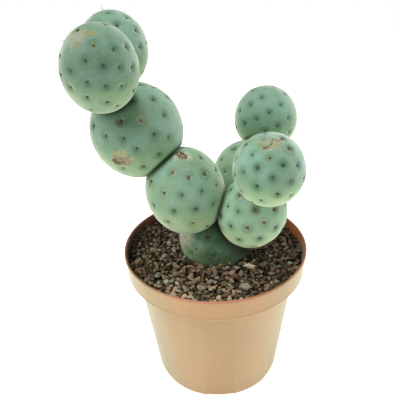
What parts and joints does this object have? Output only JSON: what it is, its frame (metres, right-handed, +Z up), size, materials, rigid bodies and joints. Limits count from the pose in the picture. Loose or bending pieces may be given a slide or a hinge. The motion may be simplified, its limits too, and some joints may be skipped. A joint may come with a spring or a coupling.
{
  "type": "potted tephrocactus",
  "caption": "Potted ball cactus: egg-shaped green stem segments stacked in chains from one half-buried base, in a plastic nursery pot filled with grit.",
  "frame": {"origin": "middle of the pot's underside, on the surface that the pot stands on", "axes": "+Z up along the pot's axis; -Y is the side that the plant is seen from, with the tallest chain of segments to -X"},
  "size_m": [0.1211, 0.1277, 0.2161],
  "materials": {
    "pot": "satin",
    "grit": "matte",
    "root": "matte",
    "skin": "satin",
    "spine": "satin",
    "areole": "matte"
  },
  "bodies": {
    "root": {"pot": "pot", "grit": "grit", "roots": "root", "base_segment": "skin", "left_first_segment": "skin", "left_second_segment": "skin", "left_front_tip": "skin", "left_back_tip": "skin", "front_first_segment": "skin", "front_tip": "skin", "back_first_segment": "skin", "back_tip": "skin"}
  },
  "joints": []
}
